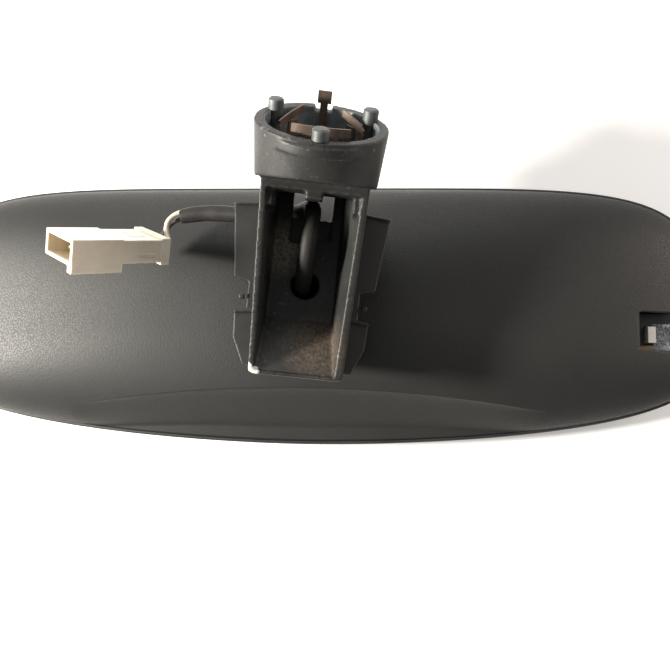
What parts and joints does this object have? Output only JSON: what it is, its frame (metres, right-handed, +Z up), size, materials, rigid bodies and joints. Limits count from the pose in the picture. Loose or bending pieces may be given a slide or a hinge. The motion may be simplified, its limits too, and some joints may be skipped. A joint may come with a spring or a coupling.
{
  "type": "interior rearview mirror",
  "caption": "Self-dimming interior rearview mirror: a wide shaded-back head on a hollow ball joint, a cast channel arm with a twist-lock ring mount, and a short cable with its connector.",
  "frame": {"origin": "centre of the mount ring's rim circle, where the ring meets the windscreen button", "axes": "+Z up in the car, the glass faces -Y, the windscreen and arm are on the +Y side, +X along the head"},
  "size_m": [0.24, 0.0732, 0.0924],
  "materials": {
    "cast_paint": "worn dark grey cast paint",
    "stud_metal": "bare turned metal",
    "spring_steel": "brown-grey spring steel",
    "cover_plastic": "fine grained dark plastic",
    "housing_plastic": "fine grained black plastic",
    "bezel_plastic": "satin black plastic",
    "clear_glass": "polished clear glass",
    "silvered_glass": "silvered mirror glass",
    "seal_resin": "pale grey sealing resin",
    "clip_metal": "plated contact metal",
    "foam": "dark closed-cell foam",
    "carrier_plastic": "dark carrier plastic",
    "board_laminate": "green board laminate",
    "connector_plastic": "cream nylon",
    "component_case": "dark component cases",
    "light_pipe_resin": "pale light pipe resin",
    "amber_lens": "dull amber sensor lens",
    "socket_metal": "plain die-cast socket",
    "liner_nylon": "natural nylon liner",
    "screw_steel": "zinc-plated steel",
    "sleeve_plastic": "soft black cable sleeve",
    "lead_pale_pvc": "cream lead insulation",
    "lead_dark_pvc": "dark lead insulation",
    "wire_harness": "black flat harness"
  },
  "bodies": {
    "arm": {"arm_casting": "cast_paint", "locating_studs": "stud_metal", "retaining_spring": "spring_steel", "stem_rear_cover": "cover_plastic", "sleeve_upper": "sleeve_plastic"},
    "pan_liner": {"inner_ball_liner": "liner_nylon", "sleeve_lower": "sleeve_plastic", "lead_pale": "lead_pale_pvc", "lead_dark": "lead_dark_pvc", "plug_housing": "connector_plastic", "plug_lock": "connector_plastic", "plug_terminals": "clip_metal", "plug_seal": "seal_resin"},
    "roll_liner": {"outer_ball_liner": "liner_nylon"},
    "head": {"rear_housing": "housing_plastic", "bezel": "bezel_plastic", "front_glass": "clear_glass", "cell_seal": "seal_resin", "mirror_glass": "silvered_glass", "bus_clip_top": "clip_metal", "bus_clip_bottom": "clip_metal", "foam_pad": "foam", "carrier_plate": "carrier_plastic", "circuit_board": "board_laminate", "board_connector": "connector_plastic", "board_capacitors": "component_case", "control_chip": "component_case", "glare_sensor": "component_case", "ambient_sensor": "component_case", "light_pipe": "light_pipe_resin", "sensor_lens": "amber_lens", "ball_socket": "socket_metal", "clamp_spring": "spring_steel", "socket_screws": "screw_steel", "head_harness": "wire_harness"}
  },
  "joints": [
    {"name": "pan", "type": "hinge", "parent": "arm", "child": "pan_liner", "pos_m": [0.00736, -0.03928, -0.0368], "axis": [0, 0, 1], "range_deg": [-14, 14]},
    {"name": "roll", "type": "hinge", "parent": "pan_liner", "child": "roll_liner", "pos_m": [0.00736, -0.03928, -0.0368], "axis": [0, 1, 0], "range_deg": [-8, 8]},
    {"name": "tilt", "type": "hinge", "parent": "roll_liner", "child": "head", "pos_m": [0.00736, -0.03928, -0.0368], "axis": [1, 0, 0], "range_deg": [-10, 10]}
  ]
}
